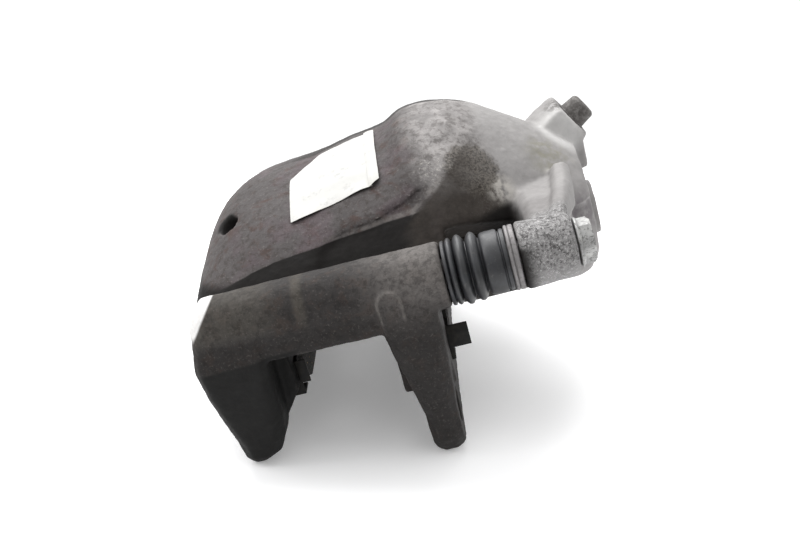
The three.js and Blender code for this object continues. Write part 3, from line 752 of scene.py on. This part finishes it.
def raise_arch(mesh):
    """Raises the thin arch-shaped edge on each beam's face, where the inboard arm meets it."""
    middle_x, half_width, shoulder_z, foot_z = ARCH
    points = get_points(mesh)
    x, y, z = get_drawn_points(mesh).T
    height, width, face_y = 0.9, 0.7, PIN_Y + 6
    beyond = np.hypot(x - middle_x, np.maximum(z - shoulder_z, 0)) - half_width
    rim = np.exp(-((beyond / width) ** 2)) * np.clip((z - foot_z) / 3, 0, 1)
    face = np.clip((np.abs(y) - face_y) / 3, 0, 1)
    points[:, 1] += height * MM * rim * face * np.sign(y)
    set_points(mesh, points)


def make_housing():
    """The bridge, cylinder, fingers, lugs and horn, in one casting."""
    voxel, edge_rounds, layers = 0.8, 4, ((26, 0.5), (6, 0.18), (1.8, 0.09))
    piece = cast_piece(
        "caliper_housing", "housing_casting", voxel, edge_rounds, housing_softness, layers
    )
    return dressed(piece, "housing", "housing_iron")


def make_carrier():
    """The two beams with their four arms, and the plate and bar that join them."""
    voxel, edge_rounds, layers = 0.65, 3, ((24, 0.3), (5, 0.14), (1.8, 0.09))
    piece = cast_piece(
        "carrier_bracket", "carrier_casting", voxel, edge_rounds, carrier_softness, layers
    )
    raise_arch(piece.data)
    return dressed(piece, "carrier", "carrier_iron")


# ---------------------------------------------------------------- guide pins, bolts and boots

BOOT_START, BOOT_END = 13.9, 34.3
BOOT_OUTER, BOOT_WAIST, BOOT_INNER = 11.4, 8.8, 6.9


def on_pin_axis(place):
    """The point of a guide pin's axis from which drawn X distances are measured."""
    middle = centre_of(f"{place}_guide_pin")
    return Vector((at(0, 0, 0).x, middle.y, middle.z))


def fold_points(start, end, outer, waist):
    """One rounded fold of a bellows, from waist up to outer and back."""
    points = []
    for step in range(15):
        turn = -1 + 2 * step / 14
        x = (start + end) / 2 + turn * (end - start) / 2
        points.append((x, waist + (outer - waist) * math.cos(turn * math.pi / 2) ** 0.7))
    return points


def boot_profile():
    """A thin collar, three folds that shrink towards the lug, and a wide smooth cuff."""
    outside = [(BOOT_START, 10.0), (BOOT_START + 0.2, 10.4)]
    outside += [(BOOT_START + 1.0, 10.6), (BOOT_START + 1.3, 10.3)]
    outside += fold_points(15.4, 17.6, 10.9, 9.6)
    outside += fold_points(17.7, 21.7, BOOT_OUTER, BOOT_WAIST)
    outside += fold_points(21.9, 25.9, BOOT_OUTER - 0.2, BOOT_WAIST)
    outside += [(26.3, 8.6), (26.6, 9.6), (27.2, 10.1), (28.5, 10.3), (31.6, 10.3), (32.2, 10.0)]
    outside += [(32.5, 9.3), (32.8, 9.3), (33.1, 9.9), (33.7, 10.0), (BOOT_END, 9.8)]
    return outside + [(BOOT_END, BOOT_INNER), (BOOT_START, BOOT_INNER)]


def make_boot(place):
    """The rubber bellows between a beam and its lug."""

    def uneven(radius, along, angle):
        if radius <= BOOT_INNER:
            return radius
        return radius + 0.1 * math.sin(3 * angle + along * 0.7) + 0.06 * math.sin(7 * angle - along)

    piece = turned(f"{place}_boot", boot_profile(), on_pin_axis(place), section=uneven)
    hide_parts(f"{place}_pin_boot")
    dressed(piece, None, "black_rubber")
    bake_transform(piece)


def make_pin(place):
    """A guide pin: its shank slides in the beam, and its grooved flange stands against the lug."""
    radius, flange, tip, seat, end = 4.9, 10.6, -38, 34.6, 55
    thread_radius, thread_start = 4.4, 26
    profile = [(tip, 0), (tip, radius - 1), (tip + 1, radius), (seat, radius), (seat, flange - 0.5)]
    profile += [(seat + 0.3, flange), (seat + 1.0, flange), (seat + 1.3, flange - 0.35)]
    profile += [(seat + 1.6, flange), (seat + 2.8, flange), (seat + 3.1, flange - 0.4)]
    profile += [(seat + 3.1, radius), (end, radius), (end, thread_radius)]
    profile += [(thread_start, thread_radius), (thread_start, 0)]
    piece = turned(f"{place}_pin", profile, on_pin_axis(place))
    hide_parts(f"{place}_guide_pin")
    dressed(piece, "housing", "dusty_steel")


def make_bolt(place):
    """A flanged hexagon bolt, screwed into the guide pin from the lug's side."""
    origin = on_pin_axis(place)
    tip, seat, top, across, shank_radius, flange_radius = 27, 56.3, 61.6, 13, 4, 8
    profile = [(tip, 0), (tip, shank_radius), (seat, shank_radius), (seat, flange_radius - 0.4)]
    profile += [(seat + 0.3, flange_radius), (seat + 0.8, flange_radius)]
    profile += [(seat + 1.5, flange_radius - 0.8), (seat + 1.5, 0)]
    flange = turned(f"{place}_bolt_flange", profile, origin)
    head_profile = bolt_head(seat + 1.3, top, across)
    head = turned(f"{place}_bolt_head", head_profile, origin, section=hexagon(across))
    for piece in (flange, head):
        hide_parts(f"{place}_pin_bolt")
        dressed(piece, "housing", "zinc_steel")


# ---------------------------------------------------------------- piston, seals and pads


def make_piston():
    """A cup with a groove for the dust boot, open towards the pad."""
    centre = at(0, 0, BORE_Z)
    nose, radius, face, back = 20.0, 21.9, 3.1, 45.0
    shoulder = face + 12
    profile = [(face, nose - 3), (face, nose - 0.5), (face + 0.5, nose), (shoulder - 3, nose)]
    profile += [(shoulder - 2, nose - 1.2), (shoulder, nose - 1.2), (shoulder + 1, radius)]
    profile += [(back - 1.5, radius), (back, radius - 1.5), (back, 0)]
    profile += [(back - 6, 0), (back - 6, nose - 4), (back - 7, nose - 3)]
    piece = turned("piston_body", profile, centre, segments=128)
    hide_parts("piston")
    dressed(piece, "piston_and_inboard_pad", "ground_steel")


def make_rubber_rings():
    """The piston's square seal, the dust boot with one fold, and the wire ring that holds it."""
    seal = bevelled("piston_seal", "piston_seal_ring", 0.4)
    dressed(seal, "housing", "black_rubber")
    ring = bevelled("dust_boot_ring", "boot_snap_ring", 0.3)
    dressed(ring, "housing", "ground_steel")
    face, edge, nose = 14.0, 25.3, 20.3
    profile = [(face + 4.4, edge), (face + 2.2, edge)]
    profile += [(face + 2.2, edge - 1.6), (face - 0.4, edge - 1.8)]
    profile += arc_points((face - 2.4, edge - 2.7), 0.7, 60, 180, 6)
    profile += [(face - 3.8, edge - 3.1), (face - 4, nose + 0.1), (face - 2.4, nose + 0.1)]
    profile += [(face - 2.2, nose + 1.5), (face - 0.6, nose + 1.9), (face + 0.6, nose + 2.2)]
    profile += [(face + 4.4, nose + 2.9)]
    boot = turned("dust_boot", profile, at(0, 0, BORE_Z), segments=128)
    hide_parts("piston_dust_boot")
    dressed(boot, None, "black_rubber")
    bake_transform(boot)


def make_pads():
    """The plate, the friction block and the shim of each pad."""
    looks = {
        "backing_plate": ("black_sheet", 0.5),
        "friction_block": ("friction_compound", 0.5),
        "shim": ("zinc_steel", 0.2),
    }
    for pad, body in (("outboard_pad", "housing"), ("inboard_pad", "piston_and_inboard_pad")):
        for part, (look, width) in looks.items():
            piece = bevelled(f"{pad}_{part}", f"{pad}_{part}_shaped", width)
            dressed(piece, body, look)


def make_clips():
    """The four sheet clips that the pads' ears slide in."""
    for place in SIDES:
        for row in ("inboard", "outboard"):
            piece = bevelled(f"{place}_{row}_pad_clip", f"{place}_{row}_clip_sheet", 0.15)
            dressed(piece, "carrier", "black_sheet")


# ---------------------------------------------------------------- bleed screw

BLEED = Vector((70.5, 14.0, 16.5))  # the middle of the screw's seat on the horn
BLEED_AXIS = Vector((0.85, 0, 0.52)).normalized()


def make_bleed():
    """The bleed screw: a pointed stem, a hexagon and a barbed nipple."""
    origin = at(*BLEED)
    shank = [(-17, 0), (-14, 3.3), (-4.6, 3.3), (-4.6, 0)]
    stem = turned("bleed_stem", shank, origin, BLEED_AXIS, 48)
    across = 9
    head_profile = bolt_head(-4.7, -1.2, across)
    head = turned("bleed_hexagon", head_profile, origin, BLEED_AXIS, section=hexagon(across))
    nipple = [(-1.4, 0), (-1.4, 2.6), (1.5, 2.6), (2.6, 3.4), (4.2, 2.4), (4.2, 0)]
    tip = turned("bleed_nipple", nipple, origin, BLEED_AXIS, 48)
    for piece in (stem, head, tip):
        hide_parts("bleed_screw")
        dressed(piece, "bleed_screw", "zinc_steel")


def make_cap():
    """The rubber cap: a rim, a tapering body and a rounded, slightly hollow end."""
    rim, start, end = 6.0, -0.9, 7.6
    profile = [(4.6, 0), (4.6, 3.8), (start, 3.8), (start, rim - 0.5), (start + 0.5, rim)]
    profile += [(start + 1.6, rim), (start + 2, rim - 0.4), (end - 2.2, rim - 0.7)]
    profile += arc_points((end - 2, rim - 2.6), 2.0, 70, 10, 6)
    profile += [(end - 0.1, rim - 3.2), (end - 0.6, rim - 4), (end - 0.6, 0)]
    piece = turned("bleed_cap_rubber", profile, at(*BLEED), BLEED_AXIS, 64)
    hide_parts("bleed_cap")
    dressed(piece, "bleed_cap", "dusty_rubber")


# ---------------------------------------------------------------- paper label

LABEL_SHEET = ((-36, -40), (-5, -36.5), (-6, -2), (-36, -2))
LABEL_STRIP = ((-6.4, -37), (-2.2, -34.6), (-2.6, -2.4), (-6.8, -2.2))
# the line that cuts off the label's far outboard corner
LABEL_CUT = (Vector((-36, -17)), Vector((-24, -1)))


def inside_cut(spot):
    """Moves a spot that lies beyond the label's cut-off corner back to the cut."""
    start, end = LABEL_CUT
    line = end - start
    beyond = line.x * (spot.y - start.y) - line.y * (spot.x - start.x)
    if beyond <= 0:
        return spot
    return spot - Vector((-line.y, line.x)) * (beyond / line.length_squared)


def draped_sheet(name, corners, casting, lift):
    """A thin sheet on the casting; lift(u, v, spot) is its height over the iron in mm."""
    tree = BVHTree.FromObject(casting, bpy.context.evaluated_depsgraph_get())
    low_left, low_right, high_right, high_left = [Vector(corner) for corner in corners]
    columns = max(8, int((low_right - low_left).length / 0.6))
    rows = 64
    builder = bmesh.new()
    grid = {}
    for i in range(columns + 1):
        for j in range(rows + 1):
            u, v = i / columns, j / rows
            spot = inside_cut(low_left.lerp(low_right, u).lerp(high_left.lerp(high_right, u), v))
            hit, normal, _, _ = tree.ray_cast(at(spot.x, spot.y, 80), Vector((0, 0, -1)))
            grid[i, j] = builder.verts.new(hit + normal * lift(u, v, spot) * MM)
    for i in range(columns):
        for j in range(rows):
            builder.faces.new((grid[i, j], grid[i + 1, j], grid[i + 1, j + 1], grid[i, j + 1]))
    bmesh.ops.dissolve_degenerate(builder, edges=builder.edges, dist=0.002 * MM)
    mesh = bpy.data.meshes.new(name)
    builder.to_mesh(mesh)
    builder.free()
    relax(mesh, 4, np.full(len(mesh.vertices), 0.3))
    piece = add_object(name, mesh)
    paper = piece.modifiers.new("paper", "SOLIDIFY")
    paper.thickness = 0.14 * MM
    paper.offset = 1
    bake_modifiers(piece)
    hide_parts("bridge_label")
    return dressed(shade_smooth(piece, 60), "housing", "label_paper")


def make_label(casting):
    """A blank label, a little loose along its lower edge, with a stiffer strip folded over it."""

    def sheet_lift(u, v, spot):
        wave = noise.noise(Vector((spot.x, spot.y, 3)) * 0.09)
        curl = 0.7 * max(0.0, 0.12 - v) / 0.12 * (0.5 + 0.5 * math.sin(9 * u))
        return 0.22 + 0.14 * wave + curl

    def strip_lift(u, v, spot):
        ripple = 0.12 * math.sin(14 * v) + 0.5 * max(0.0, 0.2 - v) / 0.2
        return 0.55 + ripple + 0.35 * math.sin(math.pi * u)

    draped_sheet("label_sheet", LABEL_SHEET, casting, sheet_lift)
    draped_sheet("label_strip", LABEL_STRIP, casting, strip_lift)


# ---------------------------------------------------------------- floor, light and camera

FLOOR_UP = Vector((math.sin(TILT), 0, math.cos(TILT)))
FLOOR_RIGHT = Vector((math.cos(TILT), 0, -math.sin(TILT)))
FLOOR_AWAY = Vector((0, 1, 0))
FLOOR_RADIUS = 0.3  # metres
# painted light: the floor glows by itself, which lifts the shadows under the unit
FLOOR_GLOW = 0.2  # the floor is lit a little from below, so the shadows stay pale


def floor_turn():
    """The rotation from a level room to the leaning unit's frame."""
    return Matrix((FLOOR_RIGHT, FLOOR_AWAY, FLOOR_UP)).transposed()


def make_floor(carrier):
    points = get_points(carrier.data)
    lowest = float((points @ np.array(FLOOR_UP)).min())
    builder = bmesh.new()
    bmesh.ops.create_circle(builder, cap_ends=True, segments=96, radius=FLOOR_RADIUS)
    mesh = bpy.data.meshes.new("floor")
    builder.to_mesh(mesh)
    builder.free()
    floor = add_object("floor", mesh)
    floor.matrix_world = Matrix.Translation(FLOOR_UP * lowest) @ floor_turn().to_4x4()
    s = Shader("floor_white")
    # painted light: the floor's own glow
    s.bsdf.inputs["Emission Color"].default_value = (1, 1, 1, 1)
    s.bsdf.inputs["Emission Strength"].default_value = FLOOR_GLOW
    floor.data.materials.append(s.finish((0.9, 0.9, 0.905), 0.6, 0.0, None, 0.2))


def make_world():
    """A light tent: white above and behind, dimmer on the camera's side."""
    world = bpy.data.worlds.new("tent")
    bpy.context.scene.world = world
    world.use_nodes = True
    tree = world.node_tree
    place = tree.nodes.new("ShaderNodeTexCoord").outputs["Generated"]
    dot = tree.nodes.new("ShaderNodeVectorMath")
    dot.operation = "DOT_PRODUCT"
    tree.links.new(place, dot.inputs[0])
    dot.inputs[1].default_value = (FLOOR_UP * 0.75 + FLOOR_AWAY * 0.66).normalized()
    ramp = tree.nodes.new("ShaderNodeMapRange")
    for name, value in (("From Min", -0.7), ("From Max", 0.3), ("To Min", 0.45), ("To Max", 1.15)):
        ramp.inputs[name].default_value = value
    tree.links.new(dot.outputs["Value"], ramp.inputs["Value"])
    background = tree.nodes["Background"]
    tree.links.new(ramp.outputs["Result"], background.inputs["Strength"])
    background.inputs["Color"].default_value = (1, 1, 1, 1)


def make_lamp(name, spot, size, watts):
    """A square soft box aimed at the unit; spot is in the level room, in metres."""
    data = bpy.data.lights.new(name, "AREA")
    data.shape = "SQUARE"
    data.size = size
    data.energy = watts
    lamp = bpy.data.objects.new(name, data)
    bpy.context.scene.collection.objects.link(lamp)
    lamp.location = floor_turn() @ Vector(spot)
    lamp.rotation_mode = "QUATERNION"
    lamp.rotation_quaternion = (-lamp.location).to_track_quat("-Z", "Y")


def make_camera():
    """Level with the floor's horizon, 21 degrees above it, square to the near guide pin."""
    height = math.radians(21)
    distance = 0.35
    forward = floor_turn() @ Vector((0, math.cos(height), -math.sin(height)))
    up = floor_turn() @ Vector((0, math.sin(height), math.cos(height)))
    aim = at(0, -PIN_Y, 0) - FLOOR_RIGHT * 1.4 * MM + up * 5.3 * MM
    data = bpy.data.cameras.new("camera")
    data.sensor_width = 36
    data.lens = 49
    data.clip_start = 0.01
    camera = bpy.data.objects.new("camera", data)
    bpy.context.scene.collection.objects.link(camera)
    camera.matrix_world = Matrix.Translation(aim - forward * distance) @ Matrix(
        (FLOOR_RIGHT, up, -forward)
    ).transposed().to_4x4()
    bpy.context.scene.camera = camera


def main():
    scene = bpy.context.scene
    scene.view_settings.view_transform = "Standard"
    scene.view_settings.look = "None"
    make_camera()
    housing = make_housing()
    carrier = make_carrier()
    for place in SIDES:
        make_boot(place)
        make_pin(place)
        make_bolt(place)
    make_piston()
    make_rubber_rings()
    make_pads()
    make_clips()
    make_bleed()
    make_cap()
    make_label(housing)
    make_floor(carrier)
    make_world()
    make_lamp("top_box", (-0.15, 0.35, 0.75), 0.8, 9.0)
    make_lamp("side_box", (-0.7, -0.1, 0.45), 0.5, 2.0)


main()
